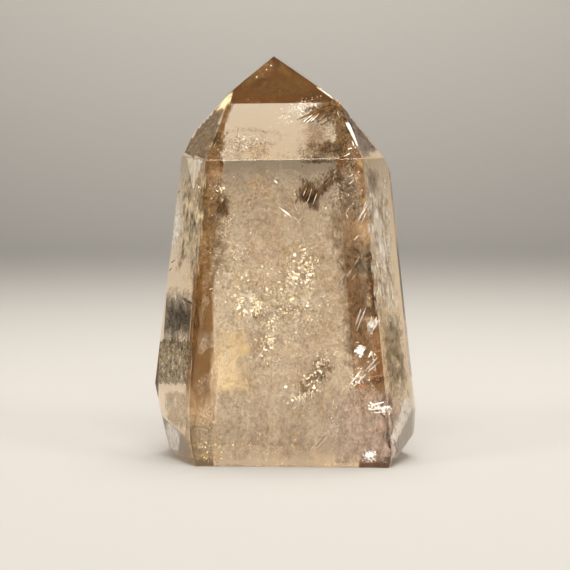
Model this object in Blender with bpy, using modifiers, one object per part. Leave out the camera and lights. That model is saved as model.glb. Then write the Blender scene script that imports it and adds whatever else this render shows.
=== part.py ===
"""A polished citrine crystal point, 90 mm tall.

It is one crystal of quartz, ground and polished flat all over: a tapering
tower of six main sides with bevels between them, a point made of slanting
faces, and a sawn flat foot that it stands on. It is made as a lapidary makes
it: a block is cut by one plane after another, then the edges are eased and
a few of them are chipped.

The origin is the middle of the foot, +Z is up and the front side faces -Y.
A facet's azimuth is 0 at the front and grows towards +X. Its tilt is the
angle that it looks up by (down, where it is negative).
"""

import math

import bmesh
import bpy
from mathutils import Matrix, Vector

MM = 0.001

BLOCK_SIDE = 120 * MM
EDGE_EASE = 0.22 * MM
CUT_TOLERANCE = 0.0001 * MM

# Sides: azimuth and tilt in degrees, and how far out the side meets the foot's plane.
SIDES = {
    "front": (-3.0, 3.0, 21.2 * MM),
    "left": (-62.0, 5.0, 29.1 * MM),
    "back_left": (-111.5, 7.5, 28.2 * MM),
    "back_left_sliver": (-135.0, 0.0, 26.5 * MM),
    "back": (180.0, 3.0, 23.1 * MM),
    "back_right": (112.0, 5.5, 25.3 * MM),
    "right_sliver": (80.0, 6.3, 31.4 * MM),
    "right": (58.0, 6.5, 31.9 * MM),
}

# Faces of the point: azimuth and tilt, and how high up the middle axis the face would pass.
POINT = {
    "tip_front": (-3.5, 38.0, 89.7 * MM),
    "tip_left": (-58.5, 35.5, 99.9 * MM),
    "tip_left_shoulder": (-98.0, 22.0, 121.7 * MM),
    "tip_left_rim": (-98.0, 47.5, 92.3 * MM),
    "tip_back_left": (-104.0, 43.5, 93.2 * MM),
    "tip_back": (180.0, 47.0, 90.4 * MM),
    "tip_back_right": (102.0, 34.0, 95.8 * MM),
    "tip_right_rim": (99.0, 52.0, 88.1 * MM),
    "tip_right_shoulder": (92.0, 39.5, 93.7 * MM),
    "tip_right": (57.0, 37.0, 99.5 * MM),
    "tip_edge_strip": (45.0, 56.0, 89.3 * MM),
}

# Bevels round the foot: azimuth and tilt, and how far out the bevel meets the foot's plane.
FOOT = {
    "foot_left": (-62.0, 0.0, 27.7 * MM),
    "foot_left_corner": (-61.0, -8.0, 27.0 * MM),
    "foot_left_white": (-63.5, -6.0, 26.9 * MM),
    "foot_left_back": (-100.0, -17.5, 23.2 * MM),
    "foot_left_under": (-74.0, -50.0, 24.8 * MM),
    "foot_back": (180.0, -6.0, 21.2 * MM),
    "foot_right_upper": (78.0, -5.5, 29.2 * MM),
    "foot_right_white": (70.0, -9.0, 29.0 * MM),
    "foot_right_back": (100.0, -25.0, 26.1 * MM),
    "foot_right_under": (82.5, -38.0, 25.5 * MM),
}

# Chips knocked off the edges: the two facets that meet there, the height of the chip, the
# radius of its hollow and how deep it goes.
CHIPS = {
    "chip_left_high": ("left", "back_left", 62.5 * MM, 1.5 * MM, 0.40 * MM),
    "chip_left_middle": ("left", "back_left", 47.2 * MM, 1.1 * MM, 0.32 * MM),
    "chip_left_low": ("left", "back_left", 45.4 * MM, 0.9 * MM, 0.26 * MM),
    "chip_shoulder_right": ("tip_front", "tip_right_rim", 80.2 * MM, 1.8 * MM, 0.50 * MM),
    "chip_right_middle": ("right_sliver", "back_right", 34.0 * MM, 1.2 * MM, 0.30 * MM),
    "chip_back_left": ("back_left", "back", 39.0 * MM, 1.6 * MM, 0.38 * MM),
    "chip_back_right": ("back_right", "back", 24.0 * MM, 1.3 * MM, 0.34 * MM),
    "chip_back_shoulder": ("tip_back", "tip_back_left", 78.5 * MM, 1.4 * MM, 0.36 * MM),
}
CHIP_DETAIL = 2


def outward(azimuth, tilt):
    """The direction that a facet faces."""
    around = math.radians(azimuth)
    up = math.radians(tilt)
    level = math.cos(up)
    return Vector((level * math.sin(around), -level * math.cos(around), math.sin(up)))


def side_plane(azimuth, tilt, foot_reach):
    """A point on the facet and its direction, for a side or a foot bevel."""
    around = math.radians(azimuth)
    point = Vector((foot_reach * math.sin(around), -foot_reach * math.cos(around), 0.0))
    return point, outward(azimuth, tilt)


def point_plane(azimuth, tilt, axis_height):
    """A point on the facet and its direction, for a face of the crystal's point."""
    return Vector((0.0, 0.0, axis_height)), outward(azimuth, tilt)


def all_planes():
    """Every facet's plane by name, in the order that they are ground."""
    planes = {name: side_plane(*facet) for name, facet in SIDES.items()}
    planes.update({name: point_plane(*facet) for name, facet in POINT.items()})
    planes.update({name: side_plane(*facet) for name, facet in FOOT.items()})
    return planes


def grind(solid, point, direction):
    """Cut away what lies outside the plane and close the cut with one flat face."""
    everything = solid.verts[:] + solid.edges[:] + solid.faces[:]
    cut = bmesh.ops.bisect_plane(solid, geom=everything, dist=CUT_TOLERANCE,
                                 plane_co=point, plane_no=direction, clear_outer=True)
    rim = [item for item in cut["geom_cut"] if isinstance(item, bmesh.types.BMEdge)]
    bmesh.ops.edgeloop_fill(solid, edges=rim)


def edge_point(first, second, height):
    """Where the edge between two facets passes a height above the foot."""
    rows = []
    for point, direction in (first, second):
        rows.append((direction.x, direction.y, direction.dot(point) - direction.z * height))
    (a, b, e), (c, d, f) = rows
    determinant = a * d - b * c
    return Vector(((e * d - b * f) / determinant, (a * f - e * c) / determinant, height))


def quartz_material():
    """Clear quartz with a pale smoky honey tint."""
    material = bpy.data.materials.new("polished_citrine_quartz")
    material.use_nodes = True
    shader = material.node_tree.nodes["Principled BSDF"]
    shader.inputs["Base Color"].default_value = (0.72, 0.55, 0.36, 1.0)
    shader.inputs["Roughness"].default_value = 0.03
    shader.inputs["Metallic"].default_value = 0.0
    shader.inputs["IOR"].default_value = 1.544
    shader.inputs["Transmission Weight"].default_value = 1.0
    return material


def chip_cutter(name, centre, radius, collection):
    """A rough ball that scoops a shell-shaped chip off an edge."""
    ball = bmesh.new()
    bmesh.ops.create_icosphere(ball, subdivisions=CHIP_DETAIL, radius=radius,
                               matrix=Matrix.Translation(centre))
    mesh = bpy.data.meshes.new(name)
    ball.to_mesh(mesh)
    ball.free()
    cutter = bpy.data.objects.new(name, mesh)
    cutter.hide_render = True
    cutter.display_type = "WIRE"
    collection.objects.link(cutter)
    return cutter


def crystal_point(collection, cutters):
    """The whole crystal: ground facets, eased edges and chips."""
    planes = all_planes()
    solid = bmesh.new()
    bmesh.ops.create_cube(solid, size=BLOCK_SIDE,
                          matrix=Matrix.Translation((0.0, 0.0, BLOCK_SIDE / 2)))
    for point, direction in planes.values():
        grind(solid, point, direction)
    bmesh.ops.recalc_face_normals(solid, faces=solid.faces[:])

    mesh = bpy.data.meshes.new("crystal_point")
    solid.to_mesh(mesh)
    solid.free()
    mesh.materials.append(quartz_material())
    crystal = bpy.data.objects.new("crystal_point", mesh)
    collection.objects.link(crystal)

    eased = crystal.modifiers.new("eased_edges", "BEVEL")
    eased.width = EDGE_EASE
    eased.segments = 1
    eased.limit_method = "ANGLE"
    eased.angle_limit = math.radians(4.0)

    for name, (first, second, height, radius, depth) in CHIPS.items():
        edge = edge_point(planes[first], planes[second], height)
        away = (planes[first][1] + planes[second][1]).normalized()
        cutter = chip_cutter(name, edge + away * (radius - depth), radius, cutters)
        scoop = crystal.modifiers.new(name, "BOOLEAN")
        scoop.operation = "DIFFERENCE"
        scoop.solver = "EXACT"
        scoop.object = cutter
    return crystal


def new_collection(name):
    collection = bpy.data.collections.new(name)
    bpy.context.scene.collection.children.link(collection)
    return collection


def build():
    for old in list(bpy.data.objects):
        bpy.data.objects.remove(old, do_unlink=True)
    crystal_point(new_collection("citrine_crystal_point"), new_collection("cutters"))


build()
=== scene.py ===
"""A polished citrine crystal point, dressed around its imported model.

The crystal is clear quartz with a pale smoky honey tint, cut to flat faces. What is
seen inside it are old healed cracks, open cracks that mirror the light, needles and
specks of iron rust.
"""

import math

import bmesh
import bpy
import numpy as np
from mathutils import Matrix, Vector, noise
from mathutils.bvhtree import BVHTree


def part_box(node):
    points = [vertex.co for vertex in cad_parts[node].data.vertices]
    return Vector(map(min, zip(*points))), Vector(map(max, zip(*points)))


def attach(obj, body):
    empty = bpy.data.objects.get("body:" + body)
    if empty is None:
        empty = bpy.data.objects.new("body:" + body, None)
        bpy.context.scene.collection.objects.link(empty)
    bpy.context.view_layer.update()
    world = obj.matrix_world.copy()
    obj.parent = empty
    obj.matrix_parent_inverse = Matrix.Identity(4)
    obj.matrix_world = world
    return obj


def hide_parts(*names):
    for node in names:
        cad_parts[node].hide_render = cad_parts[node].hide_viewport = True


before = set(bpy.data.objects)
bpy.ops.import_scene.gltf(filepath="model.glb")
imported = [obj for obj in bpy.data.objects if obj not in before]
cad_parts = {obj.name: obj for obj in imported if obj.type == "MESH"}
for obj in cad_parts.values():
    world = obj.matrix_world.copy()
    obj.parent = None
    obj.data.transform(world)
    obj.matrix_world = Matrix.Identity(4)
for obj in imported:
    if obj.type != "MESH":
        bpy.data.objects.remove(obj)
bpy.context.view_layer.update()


# ---------------------------------------------------------------- the studio
# A pale table that the crystal stands on, a soft wide light above and beside it, and a
# long lens at the height of the crystal's shoulder, looking slightly down.

FOOT_LOW, TIP_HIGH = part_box("crystal_point")
HEIGHT = TIP_HIGH.z - FOOT_LOW.z
LENS_DISTANCE = 5.371 * HEIGHT
LENS_TILT = math.radians(4.5)
LENS_AIM = Vector((0.0, 0.00086, 0.4245 * HEIGHT))
FRAME_PIXELS = 570
PIXELS_PER_TANGENT = 2122


def linear(hex_colour, alpha=1.0):
    """An sRGB hex value as the linear colour that a socket takes."""
    channels = []
    for place in (1, 3, 5):
        value = int(hex_colour[place:place + 2], 16) / 255.0
        low = value <= 0.04045
        channels.append(value / 12.92 if low else ((value + 0.055) / 1.055) ** 2.4)
    return (*channels, alpha)


camera = bpy.data.cameras.new("camera")
camera.sensor_width = 36.0
camera.lens = camera.sensor_width * PIXELS_PER_TANGENT / FRAME_PIXELS
camera.clip_start = 0.01
camera_object = bpy.data.objects.new("camera", camera)
bpy.context.scene.collection.objects.link(camera_object)
back = Vector((0.0, -math.cos(LENS_TILT), math.sin(LENS_TILT)))
camera_object.location = LENS_AIM + back * LENS_DISTANCE
camera_object.rotation_euler = (math.pi / 2 - LENS_TILT, 0.0, 0.0)
bpy.context.scene.camera = camera_object

FLOOR_RADIUS = 0.75
SWEEP_RADIUS = 0.45
WALL_TOP = 1.1
FLOOR_GAP = 0.00005
SWEEP_STEPS = 96
ARC_STEPS = 16

sweep_form = bmesh.new()
profile = [Vector((0.0, 0.0, -FLOOR_GAP)), Vector((FLOOR_RADIUS, 0.0, -FLOOR_GAP))]
for step in range(1, ARC_STEPS + 1):
    turn = math.pi / 2 * step / ARC_STEPS
    profile.append(Vector((FLOOR_RADIUS + SWEEP_RADIUS * math.sin(turn), 0.0,
                           SWEEP_RADIUS * (1 - math.cos(turn)) - FLOOR_GAP)))
profile.append(Vector((FLOOR_RADIUS + SWEEP_RADIUS, 0.0, WALL_TOP)))
knots = [sweep_form.verts.new(point) for point in profile]
rail = [sweep_form.edges.new(pair) for pair in zip(knots, knots[1:])]
bmesh.ops.spin(sweep_form, geom=knots + rail, cent=(0, 0, 0), axis=(0, 0, 1), angle=math.tau,
               steps=SWEEP_STEPS, use_merge=True)
bmesh.ops.remove_doubles(sweep_form, verts=sweep_form.verts[:], dist=0.0001)
bmesh.ops.recalc_face_normals(sweep_form, faces=sweep_form.faces[:])
sweep_mesh = bpy.data.meshes.new("studio_sweep")
sweep_form.to_mesh(sweep_mesh)
sweep_form.free()
sweep_mesh.shade_smooth()
sweep = bpy.data.objects.new("studio_sweep", sweep_mesh)
bpy.context.scene.collection.objects.link(sweep)


def add_node(material, kind, links=(), **settings):
    """Add a node, set its properties and sockets, and link (output, socket name) pairs to it."""
    node = material.node_tree.nodes.new(kind)
    for key, value in settings.items():
        if hasattr(node, key):
            setattr(node, key, value)
        else:
            node.inputs[key.replace("_", " ")].default_value = value
    for output, socket in links:
        material.node_tree.links.new(output, node.inputs[socket])
    return node


# Matte painted card: it takes soft shadows and has no shine of its own.
card = bpy.data.materials.new("matte_studio_card")
card.use_nodes = True
card_shader = card.node_tree.nodes["Principled BSDF"]
card_shader.inputs["Roughness"].default_value = 0.85
card_place = add_node(card, "ShaderNodeTexCoord")
card_split = add_node(card, "ShaderNodeSeparateXYZ", [(card_place.outputs["Object"], "Vector")])
card_ramp = add_node(card, "ShaderNodeValToRGB", [(card_split.outputs["Z"], "Fac")])
card_ramp.color_ramp.elements[0].position = 0.02
card_ramp.color_ramp.elements[0].color = linear("#939190")
card_ramp.color_ramp.elements[1].position = 0.22
card_ramp.color_ramp.elements[1].color = linear("#9A9896")
card.node_tree.links.new(card_ramp.outputs["Color"], card_shader.inputs["Base Color"])
sweep_mesh.materials.append(card)

world = bpy.data.worlds.new("studio")
world.use_nodes = True
sky = world.node_tree.nodes["Background"]
sky_place = add_node(world, "ShaderNodeTexCoord")
sky_split = add_node(world, "ShaderNodeSeparateXYZ", [(sky_place.outputs["Generated"], "Vector")])
sky_ramp = add_node(world, "ShaderNodeValToRGB", [(sky_split.outputs["Z"], "Fac")])
sky_ramp.color_ramp.elements[0].position = 0.78
sky_ramp.color_ramp.elements[0].color = linear("#FFFAEF")
sky_ramp.color_ramp.elements[1].position = 0.92
sky_ramp.color_ramp.elements[1].color = linear("#7A7772")
world.node_tree.links.new(sky_ramp.outputs["Color"], sky.inputs["Color"])
sky.inputs["Strength"].default_value = 1.0
bpy.context.scene.world = world
bpy.context.scene.view_settings.view_transform = "Standard"


def softbox(name, place, aim, size, power, spread=180):
    """A round soft lamp that looks from place to aim, with its light kept within spread degrees."""
    lamp = bpy.data.lights.new(name, "AREA")
    lamp.shape = "DISK"
    lamp.size = size
    lamp.energy = power
    lamp.color = linear("#FFFAEF")[:3]
    lamp.spread = math.radians(spread)
    lamp_object = bpy.data.objects.new(name, lamp)
    lamp_object.location = place
    lamp_object.rotation_euler = (Vector(aim) - Vector(place)).to_track_quat("-Z", "Y").to_euler()
    bpy.context.scene.collection.objects.link(lamp_object)


softbox("overhead_softbox", (0.05, 0.16, 0.80), aim=(0.02, 0.21, 0.0), size=0.50, power=2.2, spread=75)
softbox("backdrop_softbox", (0.0, 0.35, 0.75), aim=(0.0, 1.2, 0.30), size=0.40, power=1.9, spread=80)

# The three lamps before the crystal. The open cracks inside it are leaned to mirror these.
MID_CRYSTAL = (0.0, 0.0, 0.04)
FRONT_LAMP, RIGHT_LAMP = Vector((0.0, -0.60, 0.52)), Vector((0.50, -0.36, 0.42))
LEFT_LAMP = Vector((-0.50, -0.36, 0.42))
softbox("front_softbox", FRONT_LAMP, aim=MID_CRYSTAL, size=0.60, power=8.0)
softbox("right_softbox", RIGHT_LAMP, aim=MID_CRYSTAL, size=0.30, power=2.4)
softbox("left_softbox", LEFT_LAMP, aim=MID_CRYSTAL, size=0.30, power=2.4)

# Light goes through many films and back and forth between the facets before it comes out.
PASSES_IN_STONE = 32
PASSES_OF_FILMS = 64
rays = bpy.context.scene.cycles
rays.max_bounces = PASSES_IN_STONE
rays.transmission_bounces = PASSES_IN_STONE
rays.glossy_bounces = PASSES_IN_STONE
rays.transparent_max_bounces = PASSES_OF_FILMS


# ---------------------------------------------------------------- the crystal
# One piece of citrine quartz that grew in rock, then was ground flat on a lap, face by
# face, and polished to a wet shine. It stands on its sawn foot.

FLAT_ANGLE = math.radians(0.5)
MERGE = 0.000001
QUARTZ_IOR = 1.544
HONEY_DENSITY = 20.0

body_form = bmesh.new()
body_form.from_mesh(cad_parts["crystal_point"].data)
bmesh.ops.remove_doubles(body_form, verts=body_form.verts[:], dist=MERGE)
bmesh.ops.dissolve_limit(body_form, angle_limit=FLAT_ANGLE, verts=body_form.verts[:],
                         edges=body_form.edges[:])
body_mesh = bpy.data.meshes.new("crystal_body")
body_form.to_mesh(body_mesh)
walls = BVHTree.FromBMesh(body_form)
body_form.free()
crystal = bpy.data.objects.new("crystal_body", body_mesh)
bpy.context.scene.collection.objects.link(crystal)

# Clear quartz: it bends and mirrors what lies behind it, and the longer the way
# through the stone, the deeper the honey brown.
quartz = bpy.data.materials.new("polished_citrine_quartz")
quartz.use_nodes = True
quartz_shader = quartz.node_tree.nodes["Principled BSDF"]
quartz_shader.inputs["Base Color"].default_value = (1, 1, 1, 1)
quartz_shader.inputs["Roughness"].default_value = 0.0
quartz_shader.inputs["IOR"].default_value = QUARTZ_IOR
quartz_shader.inputs["Transmission Weight"].default_value = 1.0
depth = quartz.node_tree.nodes.new("ShaderNodeVolumeAbsorption")
depth.inputs["Color"].default_value = linear("#E7C063")
depth.inputs["Density"].default_value = HONEY_DENSITY
quartz_output = quartz.node_tree.nodes["Material Output"]
quartz.node_tree.links.new(depth.outputs["Volume"], quartz_output.inputs["Volume"])
body_mesh.materials.append(quartz)
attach(crystal, "root")
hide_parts("crystal_point")

# ---------------------------------------------------------------- golden flakes
# Slivers of old cracks inside the stone, each a thin lens of air or liquid that mirrors
# the light, seen through enough smoky quartz to look gold.

MM = 0.001
LENS_AHEAD = -back
LENS_RIGHT = Vector((1.0, 0.0, 0.0))
LENS_UP = LENS_RIGHT.cross(LENS_AHEAD)
FRONT_LAMPS = (FRONT_LAMP, RIGHT_LAMP, LEFT_LAMP)
FLAKE_GAP = 0.3 * MM
TRIES_PER_FLAKE = 6
MOSTLY_SMALL = 1.6
FRAY = 0.25
MOST_WEAR = 0.6


def bend(ray, facing):
    """A ray that comes in through a face, turned as quartz turns it."""
    slant = -ray.dot(facing)
    sink = math.sqrt(1 - (1 - slant * slant) / QUARTZ_IOR ** 2)
    return (ray / QUARTZ_IOR + facing * (slant / QUARTZ_IOR - sink)).normalized()


def sight(column, row):
    """Where the lens's ray at column and row meets the crystal, the face and the ray inside."""
    across = (column - FRAME_PIXELS / 2) / PIXELS_PER_TANGENT
    above = (FRAME_PIXELS / 2 - row) / PIXELS_PER_TANGENT
    ray = (LENS_AHEAD + LENS_RIGHT * across + LENS_UP * above).normalized()
    touch, facing, index, reach = walls.ray_cast(camera_object.location, ray)
    return None if touch is None else (touch, facing, bend(ray, facing))


def glint(touch, facing, inner):
    """The lean of a crack that mirrors the lamp most square to the face into the lens."""
    beams = [(touch - place).normalized() for place in FRONT_LAMPS]
    return (-bend(min(beams, key=facing.dot), facing) - inner).normalized()


def held(point, gap):
    """Whether a point lies inside the crystal, at least gap from every face."""
    place, facing, index, reach = walls.find_nearest(point)
    return reach > gap and (point - place).dot(facing) < 0


def strew(clusters, dice, clump=0.0, grain=1.4 * MM):
    """Random places in clusters: (column, row, wide, high, lean, near, far, count, small, large).

    Most flakes are small. Those where a noise as coarse as grain is under clump are left
    out, with a frayed edge, so that the rest stand in clumps.
    """
    places = []
    for column, row, wide, high, lean, near, far, count, small, large in clusters:
        lean = math.radians(lean)
        made = 0
        for trial in range(count * TRIES_PER_FLAKE):
            if made == count:
                break
            east, south = dice.normal(0, wide), dice.normal(0, high)
            seen = sight(column + east * math.cos(lean) - south * math.sin(lean),
                         row + east * math.sin(lean) + south * math.cos(lean))
            depth = dice.uniform(near, far) * MM
            size = small * (large / small) ** dice.random() ** MOSTLY_SMALL * MM
            if seen is None:
                continue
            point = seen[0] + seen[2] * depth
            if (not held(point, FLAKE_GAP + size)
                    or noise.noise(point / grain) < clump - FRAY * dice.random()):
                continue
            places.append((point, size, glint(*seen)))
            made += 1
    return places


def join_copies(name, seed, points, turns, scales, dice, ragged):
    """One mesh of copies of a small bmesh, each placed, turned, scaled and made a little ragged."""
    corners = np.array([vert.co for vert in seed.verts])
    sides = np.array([[vert.index for vert in face.verts] for face in seed.faces])
    count = len(points)
    wear = 1 + dice.normal(0, ragged, (count, len(corners), 1)).clip(-MOST_WEAR, MOST_WEAR)
    shapes = corners[None] * wear * np.array(scales)[:, None]
    verts = np.einsum("nij,nvj->nvi", np.array(turns), shapes) + np.array(points)[:, None]
    faces = sides[None] + (np.arange(count) * len(corners))[:, None, None]
    mesh = bpy.data.meshes.new(name)
    mesh.from_pydata(verts.reshape(-1, 3).tolist(), [], faces.reshape(-1, sides.shape[1]).tolist())
    piece = bpy.data.objects.new(name, mesh)
    bpy.context.scene.collection.objects.link(piece)
    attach(piece, "root")
    return piece


def join_flakes(name, seed, places, dice, slim, flat, spread, ragged):
    """Flakes at (point, size, lean) places, flat to the lean and turned by chance about it."""
    count = len(places)
    sizes = np.array([place[1] for place in places])[:, None]
    widths = sizes * (slim + (1 - slim) * dice.random((count, 1)) ** 2)
    scales = np.hstack([sizes, widths, sizes * flat])
    leans = np.array([place[2] for place in places]) + dice.normal(0, spread, (count, 3))
    turns = [Vector(axis).to_track_quat("Z", "Y").to_matrix() @ Matrix.Rotation(spin, 3, "Z")
             for axis, spin in zip(leans, dice.uniform(0, math.tau, count))]
    return join_copies(name, seed, [place[0] for place in places], turns, scales, dice, ragged)


chip = bmesh.new()
bmesh.ops.create_icosphere(chip, subdivisions=1, radius=0.5)
chip.verts.ensure_lookup_table()

GOLDEN_CLUSTERS = [
    # column, row, wide, high, lean in degrees, nearest and furthest in millimetres, count,
    # smallest and largest in millimetres
    (226, 228, 6, 14, -12, 4, 12, 300, 0.15, 0.60),
    (220, 192, 5, 6, 0, 4, 12, 90, 0.15, 0.50),
    (214, 245, 6, 22, 0, 5, 14, 160, 0.12, 0.45),
    (238, 262, 9, 10, -30, 4, 12, 220, 0.15, 0.55),
    (262, 298, 22, 14, 20, 2, 9, 420, 0.12, 0.80),
    (250, 306, 6, 4, 10, 1.5, 5, 220, 0.20, 1.00),
    (302, 270, 7, 9, 0, 1.5, 6, 280, 0.16, 0.90),
    (286, 302, 10, 20, 0, 2, 8, 300, 0.12, 0.80),
    (267, 340, 4, 8, 0, 2, 6, 90, 0.20, 0.90),
    (268, 335, 9, 12, 0, 2, 8, 180, 0.15, 0.60),
    (286, 262, 24, 30, 0, 2, 8, 180, 0.12, 0.50),
    (322, 320, 16, 24, 0, 2, 8, 130, 0.12, 0.45),
    (318, 370, 13, 4, -52, 2, 5, 170, 0.18, 0.70),
    (303, 393, 8, 5, -30, 2, 5, 130, 0.18, 0.65),
    (206, 440, 9, 13, 0, 2, 6, 110, 0.12, 0.45),
    (260, 430, 40, 18, 0, 3, 30, 160, 0.12, 0.35),
    (285, 330, 45, 60, 0, 14, 38, 260, 0.12, 0.50),
]

golden_dice = np.random.default_rng(11)
golden = strew(GOLDEN_CLUSTERS, golden_dice, clump=0.12, grain=2.2 * MM)
golden_piece = join_flakes("golden_flakes", chip, golden, golden_dice,
                           slim=0.25, flat=0.10, spread=0.12, ragged=0.45)

# The real crinkles are a few hundredths of a millimetre apart, so they are drawn coarser,
# as coarse as they need to be to show.
GOLD_GRAIN = 1.11 * MM

# Air in a crack thinner than paper: it throws the lamps back like crumpled foil, cream
# where it faces them and gold where the grain turns away.
gold = bpy.data.materials.new("air_filled_crack_gold")
gold.use_nodes = True
gold_shader = gold.node_tree.nodes["Principled BSDF"]
gold_shader.inputs["Metallic"].default_value = 1.0
gold_place = add_node(gold, "ShaderNodeTexCoord")
gold_grain = add_node(gold, "ShaderNodeTexNoise", [(gold_place.outputs["Object"], "Vector")],
                      Scale=1 / GOLD_GRAIN, Detail=2.0)
gold_ramp = add_node(gold, "ShaderNodeValToRGB", [(gold_grain.outputs["Fac"], "Fac")])
gold_ramp.color_ramp.elements[0].position = 0.36
gold_ramp.color_ramp.elements[0].color = linear("#E0D0AC")
gold_ramp.color_ramp.elements[1].position = 0.60
gold_ramp.color_ramp.elements[1].color = linear("#FFFEF4")
gold.node_tree.links.new(gold_ramp.outputs["Color"], gold_shader.inputs["Base Color"])
gold_rough = add_node(gold, "ShaderNodeMapRange", [(gold_grain.outputs["Fac"], "Value")],
                      From_Min=0.3, From_Max=0.7, To_Min=0.45, To_Max=0.28)
gold.node_tree.links.new(gold_rough.outputs["Result"], gold_shader.inputs["Roughness"])
golden_piece.data.materials.append(gold)

# ---------------------------------------------------------------- white flakes
# Open cracks close under the front and right faces, too near the surface to take up
# the stone's tint, so they flash white.

WHITE_CLUSTERS = [
    # column, row, wide, high, lean in degrees, nearest and furthest in millimetres, count,
    # smallest and largest in millimetres
    (301, 107, 8, 3.5, -20, 1, 5, 330, 0.08, 0.32),
    (283, 117, 5, 5, -40, 1, 5, 70, 0.10, 0.30),
    (346, 140, 6, 22, -18, 1.5, 8, 130, 0.10, 0.45),
    (350, 185, 7, 18, -10, 1.5, 8, 100, 0.10, 0.40),
    (338, 195, 9, 7, -40, 1.5, 8, 70, 0.10, 0.35),
    (361, 351, 2.6, 2.6, 0, 1, 2.5, 140, 0.25, 0.70),
    (373, 362, 4, 7, 20, 1, 4, 30, 0.2, 0.6),
    (358, 378, 5, 4, -20, 1, 4, 60, 0.2, 0.6),
    (379, 408, 8, 2.5, 10, 1, 3, 70, 0.2, 0.7),
    (370, 455, 5, 3, -30, 1, 3, 30, 0.2, 0.6),
    (400, 394, 4, 6, 0, 1, 3, 30, 0.15, 0.4),
    (352, 400, 20, 34, 0, 2, 12, 160, 0.10, 0.35),
    (238, 148, 14, 7, 0, 1, 6, 260, 0.10, 0.28),
    (176, 318, 6, 4, 30, 1, 2, 30, 0.2, 0.5),
    (280, 205, 30, 24, 0, 2, 20, 130, 0.08, 0.25),
    (280, 320, 45, 50, 0, 2, 20, 200, 0.08, 0.30),
    (300, 240, 40, 80, 0, 22, 38, 200, 0.10, 0.35),
]

white_dice = np.random.default_rng(23)
white = strew(WHITE_CLUSTERS, white_dice, clump=-0.1)
white_piece = join_flakes("white_flakes", chip, white, white_dice,
                          slim=0.25, flat=0.10, spread=0.12, ragged=0.45)

# Crinkles as in the golden flakes, and drawn coarser than they are for the same reason.
SNOW_GRAIN = 0.91 * MM

# The same air-filled crack with hardly any stone before it: silver white, with grey grain.
snow = bpy.data.materials.new("air_filled_crack_white")
snow.use_nodes = True
snow_shader = snow.node_tree.nodes["Principled BSDF"]
snow_shader.inputs["Metallic"].default_value = 1.0
snow_place = add_node(snow, "ShaderNodeTexCoord")
snow_grain = add_node(snow, "ShaderNodeTexNoise", [(snow_place.outputs["Object"], "Vector")],
                      Scale=1 / SNOW_GRAIN, Detail=2.0)
snow_ramp = add_node(snow, "ShaderNodeValToRGB", [(snow_grain.outputs["Fac"], "Fac")])
snow_ramp.color_ramp.elements[0].position = 0.35
snow_ramp.color_ramp.elements[0].color = linear("#B9B0A8")
snow_ramp.color_ramp.elements[1].position = 0.55
snow_ramp.color_ramp.elements[1].color = linear("#FFFFFF")
snow.node_tree.links.new(snow_ramp.outputs["Color"], snow_shader.inputs["Base Color"])
snow_shader.inputs["Roughness"].default_value = 0.28
white_piece.data.materials.append(snow)

# ---------------------------------------------------------------- scattered flakes
# Loose specks of the same cracks all through the stone, turned every way, so that a few
# of them flash from any side.

SCATTER_CLUSTERS = [
    # column, row, wide, high, lean in degrees, nearest and furthest in millimetres, count,
    # smallest and largest in millimetres
    (280, 280, 50, 110, 0, 5, 42, 900, 0.10, 0.55),
]

scatter_dice = np.random.default_rng(41)
scatter = strew(SCATTER_CLUSTERS, scatter_dice, clump=-0.05, grain=3.0 * MM)
scatter_piece = join_flakes("scattered_flakes", chip, scatter, scatter_dice,
                            slim=0.25, flat=0.10, spread=1.2, ragged=0.45)
scatter_piece.data.materials.append(snow)

# ---------------------------------------------------------------- shards and needles
# Long splinters of open crack, and needles that the quartz grew around. They flash white
# from end to end where they face a lamp.

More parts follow.
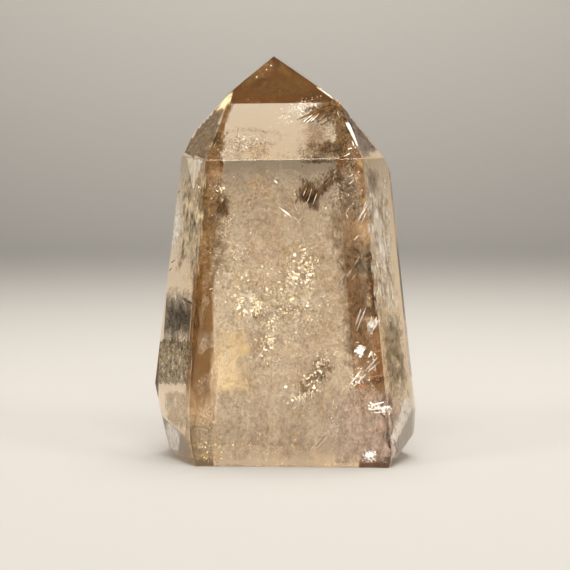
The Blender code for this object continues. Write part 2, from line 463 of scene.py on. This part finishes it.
BRIGHT_SHARDS = [
    # column, row of each end, depth in millimetres, width in millimetres
    (279, 207, 292, 217, 3, 0.30), (274, 180, 278, 184, 3, 0.24), (296, 180, 298, 183, 3, 0.26),
    (301, 232, 304, 241, 4, 0.16), (289, 260, 287, 273, 4, 0.20), (289, 273, 294, 281, 4, 0.24),
    (293, 216, 300, 223, 4, 0.14), (296, 224, 303, 216, 4, 0.12), (294, 203, 297, 211, 4, 0.12),
    (358, 221, 367, 205, 2, 0.38), (362, 222, 368, 212, 2, 0.28), (354, 240, 359, 235, 2, 0.30),
    (337, 289, 350, 272, 3, 0.32), (341, 286, 353, 268, 3, 0.24), (346, 277, 358, 261, 3, 0.22),
    (352, 268, 360, 256, 3, 0.18), (349, 283, 357, 273, 3, 0.16), (343, 279, 352, 268, 4, 0.14),
    (355, 327, 361, 309, 2, 0.26), (357, 330, 364, 311, 2, 0.20), (361, 322, 366, 307, 2, 0.16),
    (367, 331, 377, 318, 1.5, 0.50), (370, 334, 379, 322, 1.5, 0.40), (373, 330, 378, 316, 1.5, 0.2),
    (365, 371, 378, 357, 2, 0.28), (368, 372, 379, 362, 2, 0.20), (372, 352, 376, 372, 2, 0.14),
    (350, 384, 360, 372, 2, 0.34), (354, 386, 366, 374, 2, 0.26), (357, 372, 364, 384, 2, 0.18),
    (369, 406, 384, 402, 2, 0.30), (371, 410, 390, 407, 2, 0.40), (374, 413, 390, 411, 2, 0.26),
    (366, 452, 376, 461, 2, 0.28), (365, 457, 372, 461, 2, 0.20), (371, 450, 375, 456, 2, 0.20),
    (255, 361, 262, 352, 4, 0.20), (262, 352, 266, 346, 4, 0.14), (303, 122, 312, 115, 2, 0.16),
    (306, 123, 315, 115, 2, 0.14), (310, 122, 319, 114, 2, 0.16), (307, 187, 303, 196, 1.4, 0.20),
    (312, 188, 308, 201, 1.4, 0.16), (317, 193, 313, 204, 1.4, 0.14), (310, 196, 306, 204, 1.4, 0.12),
    (352, 141, 354, 146, 2, 0.34), (348, 149, 352, 148, 2, 0.30), (343, 157, 350, 153, 2, 0.16),
    (366, 202, 363, 209, 2, 0.20), (346, 214, 348, 218, 3, 0.22), (349, 208, 346, 213, 3, 0.16),
    (353, 174, 349, 177, 2, 0.14), (354, 180, 349, 184, 2, 0.14), (350, 164, 346, 167, 2, 0.12),
    (169, 305, 176, 318, 1.2, 0.30), (174, 316, 186, 311, 1.2, 0.30), (166, 318, 171, 327, 1.2, 0.24),
    (183, 298, 189, 303, 1.2, 0.7), (188, 301, 196, 305, 1.2, 0.6), (182, 302, 185, 307, 1.2, 0.4),
    (192, 257, 181, 282, 1.0, 0.16), (190, 262, 196, 254, 1.0, 0.16), (186, 250, 190, 258, 1.0, 0.2),
    (310, 451, 365, 386, 5, 0.14), (318, 447, 352, 408, 6, 0.12), (394, 388, 399, 392, 1.5, 0.26),
    (397, 398, 404, 390, 1.5, 0.20), (399, 402, 403, 397, 1.5, 0.20), (337, 112, 340, 118, 2, 0.14),
    (348, 122, 357, 146, 0.8, 0.36), (351, 128, 356, 143, 0.8, 0.30),
    (270, 65, 272, 66, 0.5, 0.2), (266, 69, 267, 70, 0.5, 0.2), (256, 78, 257.5, 76, 0.5, 0.25),
]

SHARD_GAP = 0.2 * MM
SHARD_SWAY = 0.06
SHARD_FLATNESS = 0.3


def join_shards(name, seed, shards, dice):
    """Splinters between two points seen by the lens, each flat to the lean that mirrors a lamp."""
    points, turns, scales = [], [], []
    for column_a, row_a, column_b, row_b, depth, width in shards:
        seen = [sight(column_a, row_a), sight(column_b, row_b)]
        if None in seen:
            continue
        ends = [touch + inner * depth * MM for touch, facing, inner in seen]
        if not all(held(end, SHARD_GAP) for end in ends):
            continue
        along = ends[1] - ends[0]
        length = along.length
        along.normalize()
        flat = glint(*seen[0]) + Vector(dice.normal(0, SHARD_SWAY, 3))
        flat = (flat - along * flat.dot(along)).normalized()
        points.append((ends[0] + ends[1]) / 2)
        turns.append(Matrix((along, flat.cross(along), flat)).transposed())
        scales.append((length, width * MM, SHARD_FLATNESS * width * MM))
    return join_copies(name, seed, points, turns, scales, dice, ragged=0.12)


splinter = bmesh.new()
bmesh.ops.create_icosphere(splinter, subdivisions=2, radius=0.5)
splinter.verts.ensure_lookup_table()
shard_dice = np.random.default_rng(5)
shard_piece = join_shards("bright_shards", splinter, BRIGHT_SHARDS, shard_dice)
shard_piece.data.materials.append(snow)

# ---------------------------------------------------------------- brown specks and blades
# Dust and blades of clay and iron that settled on the crystal while it grew, and are
# now inside it.

DARK_SHARDS = [
    (299, 119, 317, 111, 3, 0.45), (303, 117, 324, 109, 3, 0.55), (310, 113, 334, 107, 3, 0.60),
    (305, 122, 313, 116, 3, 0.35), (312, 117, 326, 110, 3, 0.40), (320, 121, 331, 112, 3, 0.50),
    (327, 117, 338, 108, 3, 0.50), (333, 124, 338, 113, 3, 0.45), (322, 125, 330, 119, 3, 0.35),
    (302, 194, 307, 183, 2.2, 0.45), (305, 200, 311, 184, 2.2, 0.50), (309, 203, 315, 186, 2.2, 0.45),
    (313, 205, 319, 190, 2.2, 0.40), (317, 200, 322, 190, 2.2, 0.35), (320, 188, 327, 180, 2.2, 0.30),
    (324, 184, 331, 176, 4, 0.25), (171, 263, 175, 260, 0.8, 0.3), (169, 271, 172, 268, 0.8, 0.3),
    (178, 194, 180, 190, 0.8, 0.35), (335, 104, 339, 102, 0.6, 0.5), (337, 106, 340, 104, 0.6, 0.4),
    (256, 285, 258, 281, 3, 0.3), (252, 316, 258, 318, 3, 0.35), (282, 316, 284, 318, 3, 0.3),
    (316, 378, 324, 366, 3.4, 0.50), (312, 384, 320, 372, 3.4, 0.45), (320, 370, 328, 360, 3.4, 0.40),
]

speck = bmesh.new()
bmesh.ops.create_uvsphere(speck, u_segments=4, v_segments=2, radius=0.5)
bmesh.ops.triangulate(speck, faces=speck.faces[:])
speck.verts.ensure_lookup_table()
BROWN_CLUSTERS = [
    # column, row, wide, high, lean in degrees, nearest and furthest in millimetres, count,
    # smallest and largest in millimetres
    (240, 148, 17, 7, 0, 1, 6, 900, 0.08, 0.32),
    (256, 131, 18, 1.6, 4, 1, 4, 320, 0.09, 0.32),
    (345, 140, 8, 28, -15, 1, 5, 420, 0.08, 0.35),
    (347, 195, 8, 24, -8, 2, 6, 420, 0.08, 0.35),
    (330, 149, 15, 4.5, -12, 2, 6, 420, 0.12, 0.50),
    (310, 193, 5, 7, 20, 1.6, 2.6, 320, 0.12, 0.55),
    (330, 180, 9, 5, -40, 1.6, 3, 260, 0.10, 0.40),
    (322, 113, 12, 4, -8, 2, 5, 130, 0.12, 0.45),
    (342, 118, 5, 8, -20, 1.5, 5, 120, 0.12, 0.45),
    (213, 228, 6, 32, 0, 1.6, 8, 380, 0.12, 0.45),
    (222, 208, 6, 8, 0, 1.6, 3, 200, 0.12, 0.50),
    (346, 230, 7, 34, 0, 3, 10, 200, 0.12, 0.45),
    (235, 270, 12, 16, -30, 6, 16, 120, 0.10, 0.40),
    (270, 320, 40, 40, 0, 4, 20, 220, 0.08, 0.28),
    (318, 374, 14, 5, -52, 2.5, 6, 240, 0.15, 0.5),
    (205, 435, 9, 16, 0, 3, 10, 40, 0.12, 0.4),
    (330, 310, 30, 60, 0, 3, 10, 160, 0.10, 0.35),
    (290, 290, 50, 90, 0, 22, 38, 200, 0.12, 0.4),
]

brown_dice = np.random.default_rng(37)
brown = strew(BROWN_CLUSTERS, brown_dice, clump=0.05)
brown_piece = join_flakes("brown_specks", speck, brown, brown_dice,
                          slim=0.5, flat=0.5, spread=1.0, ragged=0.3)
blade_piece = join_shards("brown_blades", splinter, DARK_SHARDS, brown_dice)

# Clumps of dust, with the finer dust in them drawn by the noise's detail.
DUST_GRAIN = 2.0 * MM
DULL_SPECULAR = 0.1

# Clay and iron rust: dull earth that gives back no light of its own, dark in the middle of
# a clump and tan at its thin places.
dust = bpy.data.materials.new("clay_and_iron_dust")
dust.use_nodes = True
dust_shader = dust.node_tree.nodes["Principled BSDF"]
dust_shader.inputs["Roughness"].default_value = 0.6
dust_shader.inputs["Specular IOR Level"].default_value = DULL_SPECULAR
dust_place = add_node(dust, "ShaderNodeTexCoord")
dust_grain = add_node(dust, "ShaderNodeTexNoise", [(dust_place.outputs["Object"], "Vector")],
                      Scale=1 / DUST_GRAIN, Detail=3.0)
dust_ramp = add_node(dust, "ShaderNodeValToRGB", [(dust_grain.outputs["Fac"], "Fac")])
dust_ramp.color_ramp.elements[0].position = 0.38
dust_ramp.color_ramp.elements[0].color = linear("#4A2E0C")
dust_ramp.color_ramp.elements[1].position = 0.66
dust_ramp.color_ramp.elements[1].color = linear("#94703C")
dust.node_tree.links.new(dust_ramp.outputs["Color"], dust_shader.inputs["Base Color"])
brown_piece.data.materials.append(dust)
blade_piece.data.materials.append(dust)

# ---------------------------------------------------------------- veils and feathers
# Films left where the crystal cracked and healed: wavy sheets of tiny droplets and air
# pockets, crinkled like foil where they are still open and smoky where iron got in.

FILM_THICKNESS = 0.02 * MM
FILM_GAP = 0.2 * MM
FILM_SQUARES = 28
JUST_INSIDE = 0.01 * MM
RIPPLES_PER_PIXEL = 0.05
# A film shallower than this, in millimetres, stays behind the one face that it lies under.
SHALLOW = 2.0
SAME_FACE = 0.01


def film(name, column, row, wide, high, lean, depth, wave, rim_share, taper, mirror):
    """A wavy closed film in the crystal, flat to its face or, where mirror, to a lamp's glint."""
    form = bmesh.new()
    rim = form.verts.layers.float.new("rim")
    bmesh.ops.create_grid(form, x_segments=FILM_SQUARES, y_segments=FILM_SQUARES, size=0.5)
    cos_lean, sin_lean = math.cos(math.radians(lean)), math.sin(math.radians(lean))
    touch, window, inward = sight(column, row)
    middle, flat = touch + inward * depth * MM, glint(touch, window, inward)
    one_face = mirror or depth < SHALLOW
    outside = []
    for vert in form.verts:
        inset = 0.5 - max(abs(vert.co.x), abs(vert.co.y))
        vert[rim] = min(1.0, inset / rim_share)
        east = vert.co.x * wide * (1 - taper * (0.5 - vert.co.y))
        south = -vert.co.y * high
        crest = Vector((east * RIPPLES_PER_PIXEL, south * RIPPLES_PER_PIXEL, column))
        ripple = wave * noise.fractal(crest, 1.0, 2.0, 3) * MM
        seen = sight(column + east * cos_lean - south * sin_lean,
                     row + east * sin_lean + south * cos_lean)
        if seen is None or (one_face and (seen[1] - window).length > SAME_FACE):
            outside.append(vert)
            continue
        touch, facing, inner = seen
        reach = (middle - touch).dot(flat) / inner.dot(flat) if mirror else depth * MM
        through = walls.ray_cast(touch + inner * JUST_INSIDE, inner)[3] or 0.0
        point = touch + inner * (reach + ripple)
        if 0 < reach + ripple < through and held(point, FILM_GAP):
            vert.co = point
        else:
            outside.append(vert)
    bmesh.ops.delete(form, geom=outside, context="VERTS")
    lone = [vert for vert in form.verts if not vert.link_faces]
    bmesh.ops.delete(form, geom=lone, context="VERTS")
    doubled = bmesh.ops.extrude_face_region(form, geom=form.faces[:], use_keep_orig=True)
    far_side = [part for part in doubled["geom"] if isinstance(part, bmesh.types.BMVert)]
    bmesh.ops.translate(form, verts=far_side, vec=inward * FILM_THICKNESS)
    bmesh.ops.recalc_face_normals(form, faces=form.faces[:])
    mesh = bpy.data.meshes.new(name)
    form.to_mesh(mesh)
    form.free()
    mesh.shade_smooth()
    piece = bpy.data.objects.new(name, mesh)
    bpy.context.scene.collection.objects.link(piece)
    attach(piece, "root")
    return piece


# A film's grain is the spacing of its clumps and folds. The droplets and crinkles that make
# them up, near a hundredth of a millimetre, are too fine to show and are drawn that coarse.
FILMS = {
    # name: place (column, row, wide and high as the lens sees the film, lean in degrees,
    #              depth and wave in millimetres, rim share, taper, mirror),
    #       look (dark, pale, metal, roughness, most cover, share covered, softness,
    #             grain in millimetres, stretch, lean in degrees)
    # Healed cracks full of microscopic droplets of liquid: matt and milky, they soften what
    # lies behind them and glow pale where the light falls. The two white foot films are
    # painted highlights instead, marked below.
    "droplet_veil": {
        "milky_front": ((287, 320, 160, 260, 0, 5, 1.0, 0.25, 0, 0),
                        ("#C8A878", "#FFFCF4", 0.0, 0.7, 0.50, 0.60, 0.45, 1.80, 0.9, 15)),
        "milky_back": ((285, 290, 150, 260, 0, 18, 1.5, 0.20, 0, 0),
                       ("#A88450", "#FFF2D8", 0.1, 0.6, 0.42, 0.60, 0.60, 2.40, 0.8, -25)),
        "body_grain": ((286, 312, 160, 290, 0, 3, 0.5, 0.03, -0.2, 0),
                       ("#AC8A5C", "#FFFAEC", 0.1, 0.6, 0.34, 0.60, 0.80, 0.30, 0.9, 30)),
        "window_veil": ((243, 145, 76, 36, 0, 4, 0.5, 0.4, 0, 0),
                        ("#5A4020", "#FFF0D8", 0.0, 0.5, 0.75, 0.60, 0.25, 0.15, 1.0, 0)),
        "foot_haze": ((280, 424, 170, 84, 0, 8, 1.5, 0.25, 0, 0),
                      ("#8C6C48", "#D8C0A0", 0.0, 0.6, 0.50, 1.2, 0.7, 0.8, 0.25, 10)),
        "pink_haze": ((368, 430, 80, 92, 0, 4, 0.6, 0.25, 0, 0),
                      ("#B09888", "#E8D0C4", 0.0, 0.6, 0.80, 1.6, 0.7, 0.6, 0.5, 45)),
        "diagonal_veil": ((338, 420, 14, 92, 40, 4, 0.5, 0.4, 0, 0),
                          ("#C8B0A0", "#FFF0E8", 0.0, 0.6, 0.55, 0.9, 0.5, 0.5, 0.3, 40)),
        "foot_gold": ((206, 444, 44, 60, 0, 4, 0.6, 0.3, 0, 0),
                      ("#A8864E", "#E0C898", 0.0, 0.6, 0.50, 1.2, 0.9, 0.28, 0.8, 0)),
        "left_foot_haze": ((177, 410, 26, 44, -6, 1.2, 0.2, 0.15, 0, 0),
                           ("#9C8460", "#D0B890", 0.0, 0.6, 0.45, 1.2, 0.4, 0.4, 0.8, 0)),
        # Painted highlight: a white film just under the left foot bevel for the light that the bevel
        # sends back.
        "left_foot_frost": ((172, 437, 20, 34, 10, 0.5, 0.05, 0.15, 0, 0),
                            ("#E8DCD0", "#FFFFFF", 0.0, 0.6, 0.75, 1.3, 0.4, 0.4, 0.5, 0)),
        # Painted highlight: a white film just under the right foot bevel for the light that the bevel
        # sends back.
        "right_foot_frost": ((404, 422, 18, 62, 20, 0.5, 0.05, 0.15, 0, 0),
                             ("#E8DCD0", "#FFFFFF", 0.0, 0.6, 0.75, 1.3, 0.4, 0.4, 0.5, 0)),
        "back_veil_high": ((262, 190, 70, 60, -20, 32, 3.0, 0.4, 0, 0),
                           ("#B89468", "#FFF2D8", 0.3, 0.5, 0.40, 0.45, 0.25, 0.60, 0.7, 30)),
        "back_veil_low": ((310, 360, 80, 90, 25, 34, 3.0, 0.4, 0, 0),
                          ("#B89468", "#FFF2D8", 0.3, 0.5, 0.40, 0.45, 0.25, 0.60, 0.7, -30)),
    },
    # Cracks that iron and clay seeped into: dull brown, streaked along the crack, darkening
    # the bright crystal like smoke. A few films here are painted shade or a painted reflection
    # instead, and each is marked below.
    "iron_stained_crack": {
        "tip_feather": ((323, 112, 46, 26, -8, 3, 0.5, 0.4, 0, 0),
                        ("#3C240A", "#7E5A2C", 0.0, 0.5, 0.95, 1.00, 0.3, 0.5, 0.25, 65)),
        "right_tip_edge": ((345, 130, 20, 76, -20, 2.5, 0.5, 0.4, 0, 0),
                           ("#43290F", "#A8885C", 0.0, 0.5, 0.90, 1.00, 0.4, 0.35, 0.5, 20)),
        "tip_smoke": ((278, 88, 90, 24, 0, 2.5, 0.3, 0.4, 0, 0),
                      ("#4E3818", "#84683C", 0.0, 0.6, 0.40, 1.4, 0.7, 0.3, 0.8, 0)),
        "tip_band_left": ((252, 80, 9, 40, 50, 0.6, 0.05, 0.4, 0, 0),
                          ("#5E4418", "#84642C", 0.0, 0.6, 0.55, 1.6, 0.5, 0.8, 0.3, 47)),
        "tip_band_right": ((290, 75, 12, 40, -53, 0.6, 0.05, 0.4, 0, 0),
                           ("#5E4418", "#84642C", 0.0, 0.6, 0.50, 1.6, 0.5, 0.8, 0.3, -53)),
        "left_tip_grain": ((197, 130, 50, 66, 25, 1.2, 0.2, 0.1, 0, 0),
                           ("#33240F", "#9C8058", 0.0, 0.6, 0.80, 1.4, 0.5, 0.2, 0.8, 0)),
        # Painted reflection: a grey-mauve film for the grey surroundings that the right tip face
        # mirrors.
        "right_tip_smoke": ((361, 132, 34, 58, -25, 1.2, 0.2, 0.3, 0, 0),
                            ("#52443C", "#8A7A70", 0.0, 0.6, 0.82, 3.0, 0.6, 1.0, 0.25, -25)),
        "window_smoke": ((318, 135, 44, 60, 0, 5, 0.5, 0.5, 0, 0),
                         ("#6A4A22", "#A88858", 0.0, 0.5, 0.45, 2.0, 0.7, 0.4, 0.8, 20)),
        "window_edge": ((219, 146, 16, 40, 10, 3.0, 0.2, 0.4, 0, 0),
                        ("#4E3414", "#94743C", 0.0, 0.6, 0.85, 1.5, 0.5, 0.25, 0.8, 0)),
        "window_corner": ((226, 110, 13, 24, 25, 1.0, 0.1, 0.5, 0, 0),
                          ("#6A4820", "#86602E", 0.0, 0.6, 0.85, 3.0, 0.7, 0.6, 0.8, 0)),
        "window_cut": ((331, 108, 36, 24, 0, 3.5, 0.3, 0.4, 0, 0),
                       ("#52340F", "#8A6838", 0.0, 0.6, 0.85, 1.5, 0.5, 0.3, 0.8, 0)),
        "window_fog": ((340, 135, 22, 54, -12, 3.0, 0.3, 0.4, 0, 0),
                       ("#52340F", "#A08050", 0.0, 0.6, 0.80, 1.2, 0.4, 0.3, 0.8, 0)),
        "shoulder_smoke": ((328, 149, 62, 26, -12, 4, 0.6, 0.4, 0, 0),
                           ("#3C240C", "#84622E", 0.0, 0.5, 0.90, 1.15, 0.4, 0.30, 0.8, 20)),
        "comb_patch": ((310, 194, 34, 34, 20, 2.3, 0.1, 0.4, 0, 0),
                       ("#3C1E04", "#704418", 0.0, 0.5, 0.97, 1.50, 0.5, 0.4, 0.25, 25)),
        "comb_tail": ((330, 180, 40, 26, -35, 2.2, 0.1, 0.4, 0, 0),
                      ("#4A2A08", "#8C6430", 0.0, 0.5, 0.68, 0.85, 0.3, 0.30, 0.5, 40)),
        "right_glitter": ((348, 190, 32, 90, -9, 4, 0.6, 0.35, 0, 0),
                          ("#3C240C", "#B8A080", 0.1, 0.5, 0.88, 1.15, 0.4, 0.30, 0.5, 40)),
        # Partly painted shade: brown mottle over the dark strip down the right, where the stone shows
        # shaded floor; the mottle is the stone's own.
        "right_smoke": ((352, 285, 40, 260, -7, 2.4, 0.2, 0.35, 0, 0),
                        ("#4A2E10", "#A8845A", 0.0, 0.6, 0.50, 0.95, 0.45, 0.35, 0.5, 10)),
        # Painted shade: a grey film for the shadow on the right shoulder.
        "right_shoulder": ((373, 180, 14, 34, -4, 0.9, 0.1, 0.5, 0, 0),
                           ("#7A6858", "#A08C78", 0.0, 0.6, 0.60, 3.0, 0.7, 0.6, 0.3, 0)),
        "right_foot_smoke": ((394, 352, 26, 110, -6, 1.6, 0.3, 0.3, 0, 0),
                             ("#564628", "#A89470", 0.0, 0.6, 0.75, 1.0, 0.5, 0.4, 0.3, 0)),
        "left_gold": ((214, 225, 38, 140, -2, 2.6, 0.2, 0.35, 0, 0),
                      ("#4A3014", "#B8945C", 0.0, 0.5, 0.60, 0.80, 0.4, 0.40, 0.8, 10)),
        "strip_shade": ((222, 207, 18, 26, -10, 2.3, 0.1, 0.4, 0, 0),
                        ("#442808", "#845C28", 0.0, 0.5, 0.74, 1.10, 0.4, 0.30, 0.8, 25)),
        "left_amber": ((202, 338, 26, 160, 2, 3, 0.1, 0.35, 0, 0),
                       ("#80561C", "#96692C", 0.0, 0.6, 0.60, 4.0, 0.6, 0.8, 0.3, 0)),
        # Painted shadow: a dark film where the left face only shows dark surroundings through the
        # stone.
        "left_shadow": ((181, 318, 90, 62, 4, 0.9, 0.1, 0.5, 0, 0),
                        ("#241A0C", "#5A4828", 0.0, 0.5, 0.88, 2.4, 0.9, 0.35, 0.7, 0)),
        "left_speckle": ((178, 362, 60, 54, 4, 1.3, 0.1, 0.14, 0, 0),
                         ("#1E170C", "#CDB484", 0.0, 0.5, 0.90, 0.95, 0.4, 0.28, 0.7, 0)),
        "gold_cluster": ((314, 377, 66, 30, -52, 3.8, 0.6, 0.4, 0, 0),
                         ("#3C1E04", "#BC8E48", 0.0, 0.45, 0.92, 1.0, 0.3, 0.45, 0.4, -50)),
    },
    # Steps where the growing faces met, polished away but still inside: fine upright ripples,
    # pale on one slope and brown on the other.
    "growth_lines": {
        "left_grain": ((190, 225, 30, 130, 4, 1.5, 0.3, 0.3, 0, 0),
                       ("#6E5430", "#FFF0D0", 0.0, 0.5, 0.80, 0.95, 0.35, 0.60, 0.4, 8)),
        "right_grain": ((381, 245, 30, 190, -4, 1.6, 0.3, 0.3, 0, 0),
                        ("#9A7E58", "#FFFFFA", 0.0, 0.5, 0.78, 0.85, 0.4, 0.50, 0.3, 5)),
    },
    # Open cracks with air inside: crumpled mirrors that throw the lamps back as cream and
    # white sparkle. The tip gleam and the yellow reflection film are painted light instead, marked
    # below.
    "air_gap_mirror": {
        "cloud_left": ((252, 290, 70, 110, -28, 5, 1.5, 0.3, 0, 1),
                       ("#E8D8B4", "#FFFFFA", 0.9, 0.50, 0.80, 0.58, 0.40, 0.80, 0.8, 20)),
        "cloud_right": ((302, 280, 56, 110, 10, 5, 1.5, 0.3, 0, 1),
                        ("#E8D8B4", "#FFFFFA", 0.9, 0.50, 0.80, 0.58, 0.40, 0.80, 0.8, -20)),
        "cloud_low": ((278, 345, 70, 90, 0, 6, 1.5, 0.3, 0, 1),
                      ("#E8D8B4", "#FFFFFA", 0.9, 0.45, 0.70, 0.50, 0.40, 0.80, 0.8, 0)),
        # Painted reflection: a pale yellow mirror film for the back bottom facet seen through the
        # stone.
        "yellow_patch": ((232, 361, 40, 76, 0, 7, 0.2, 0.18, 0, 1),
                         ("#FFEEC4", "#FFF6DC", 0.8, 0.5, 0.68, 2.1, 0.6, 1.2, 0.3, 0)),
        # Painted highlight: a cream mirror film for the light that the thin edge left of the tip lets
        # through.
        "tip_gleam": ((227, 101, 9, 30, 32, 1.2, 0.05, 0.25, 0, 1),
                      ("#E8CC98", "#FFE8C0", 1.0, 0.45, 0.92, 1.4, 0.2, 0.8, 0.5, 0)),
        "white_blob": ((360.5, 351, 12, 12, 30, 1.2, 0.1, 0.4, 0, 1),
                       ("#FFFFFF", "#FFFFFF", 1.0, 0.5, 1.0, 1.2, 0.2, 0.3, 0.8, 0)),
        "white_feather": ((379, 408, 26, 13, 8, 1.4, 0.2, 0.5, 0, 1),
                          ("#C8BCB8", "#FFFFFF", 1.0, 0.45, 0.85, 0.75, 0.15, 0.6, 0.2, 80)),
        "white_heel": ((370, 455, 13, 12, 0, 1.4, 0.2, 0.4, 0, 1),
                       ("#C8BCB8", "#FFFFFF", 1.0, 0.45, 0.9, 0.85, 0.15, 0.4, 0.4, 40)),
        "grey_shard": ((372, 326, 13, 20, 30, 1.2, 0.1, 0.3, 0, 1),
                       ("#8C847C", "#F0ECE8", 0.9, 0.5, 0.9, 1.0, 0.2, 0.4, 0.3, 30)),
    },
    # Plain white slivers just under an edge, with no depth. The gleams among them are painted
    # highlights where an edge or bevel shines; left_wedge is a plain white sliver.
    "bruised_white": {
        # Painted highlight: a white sliver for the shine along the left face's edge.
        "left_gleam": ((176, 226, 14, 70, 8, 0.6, 0.05, 0.5, 0, 0),
                       ("#F8F4EC", "#FFFFFF", 0.0, 0.6, 0.95, 1.3, 0.5, 0.3, 0.3, 0)),
        "left_wedge": ((194, 174, 20, 34, 3, 0.7, 0.05, 0.1, 1, 0),
                       ("#E8D8BC", "#FFFFFF", 0.0, 0.6, 0.85, 1.4, 0.2, 0.4, 0.12, 0)),
        # Painted highlight: a white sliver for the light that the narrow bevel on the tip ridge sends
        # back.
        "ridge_gleam": ((325.5, 92.8, 25, 2.0, 35.6, 0.4, 0, 0.2, 0, 0),
                        ("#FFF0D0", "#FFF8E8", 0.0, 0.6, 0.85, 3.0, 0.4, 0.5, 0.8, 0)),
        # Painted highlight: a white sliver for the shine along the right face's edge.
        "right_gleam": ((379, 232, 9, 140, -8, 0.7, 0.05, 0.4, 0, 0),
                        ("#FFF4E0", "#FFFFFF", 0.0, 0.6, 0.65, 1.0, 0.4, 0.6, 0.2, 0)),
        # Painted highlight: a white sliver for the cream light through the front edge of the right tip
        # face.
        "face_gleam": ((352.5, 134, 6, 30, -22, 0.7, 0, 0.2, 0.9, 0),
                       ("#FFF4DC", "#FFFFFF", 0.0, 0.6, 1.0, 3.0, 0.4, 0.5, 0.8, 0)),
    },
}

# A film shows where two noises together, one at its grain and one broader, pass a level
# that its covered share sets. The level drops away at the film's rim, so it has no edge.
NOISE_REACH = 0.28
RIM_DROP = 0.25
SOFT_BELOW, SOFT_ABOVE = 0.4, 0.6
BROAD_SCALE, PATCH_SCALE = 0.18, 0.55
CRINKLE = 0.35

films = [(kind, name, *numbers) for kind, group in FILMS.items() for name, numbers in group.items()]
for kind, name, place, look in films:
    dark, pale, metal, rough, cover, share, soft, grain, stretch, lean = look
    piece = film(name, *place)
    foil = bpy.data.materials.new(kind + "_" + name)
    foil.use_nodes = True
    shader = foil.node_tree.nodes["Principled BSDF"]
    shader.inputs["Metallic"].default_value = metal
    shader.inputs["Roughness"].default_value = rough
    shader.inputs["Specular IOR Level"].default_value = DULL_SPECULAR
    place_node = add_node(foil, "ShaderNodeTexCoord")
    turned = add_node(foil, "ShaderNodeMapping", [(place_node.outputs["Object"], "Vector")],
                      Rotation=(0.0, math.radians(lean), 0.0), Scale=(1.0, 1.0, stretch))
    fine = add_node(foil, "ShaderNodeTexNoise", [(turned.outputs["Vector"], "Vector")],
                    Scale=1.0 / (grain * MM), Detail=3.0, Roughness=0.55)
    broad = add_node(foil, "ShaderNodeTexNoise", [(place_node.outputs["Object"], "Vector")],
                     Scale=BROAD_SCALE / (grain * MM), Detail=3.0)
    rim = add_node(foil, "ShaderNodeAttribute", attribute_name="rim")
    fade = add_node(foil, "ShaderNodeMapRange", [(rim.outputs["Fac"], "Value")],
                    From_Min=0.0, From_Max=1.0, To_Min=-RIM_DROP - NOISE_REACH * share, To_Max=0.0)
    drift = add_node(foil, "ShaderNodeMath", [(fine.outputs["Fac"], 0), (broad.outputs["Fac"], 1)])
    level = add_node(foil, "ShaderNodeMath",
                     [(drift.outputs["Value"], 0), (fade.outputs["Result"], 1)])
    opening = 1.0 + NOISE_REACH * (0.5 - share)
    veil = add_node(foil, "ShaderNodeMapRange", [(level.outputs["Value"], "Value")],
                    From_Min=opening - SOFT_BELOW * soft, From_Max=opening + SOFT_ABOVE * soft,
                    To_Min=0.0, To_Max=cover)
    foil.node_tree.links.new(veil.outputs["Result"], shader.inputs["Alpha"])
    patch = add_node(foil, "ShaderNodeTexNoise", [(turned.outputs["Vector"], "Vector")],
                     Scale=PATCH_SCALE / (grain * MM), Detail=4.0, Roughness=0.6)
    tint = add_node(foil, "ShaderNodeValToRGB", [(patch.outputs["Fac"], "Fac")])
    tint.color_ramp.elements[0].position = 0.40
    tint.color_ramp.elements[0].color = linear(dark)
    tint.color_ramp.elements[1].position = 0.60
    tint.color_ramp.elements[1].color = linear(pale)
    foil.node_tree.links.new(tint.outputs["Color"], shader.inputs["Base Color"])
    crinkle = add_node(foil, "ShaderNodeBump", [(patch.outputs["Fac"], "Height")],
                       Strength=CRINKLE, Distance=grain * MM)
    foil.node_tree.links.new(crinkle.outputs["Normal"], shader.inputs["Normal"])
    piece.data.materials.append(foil)
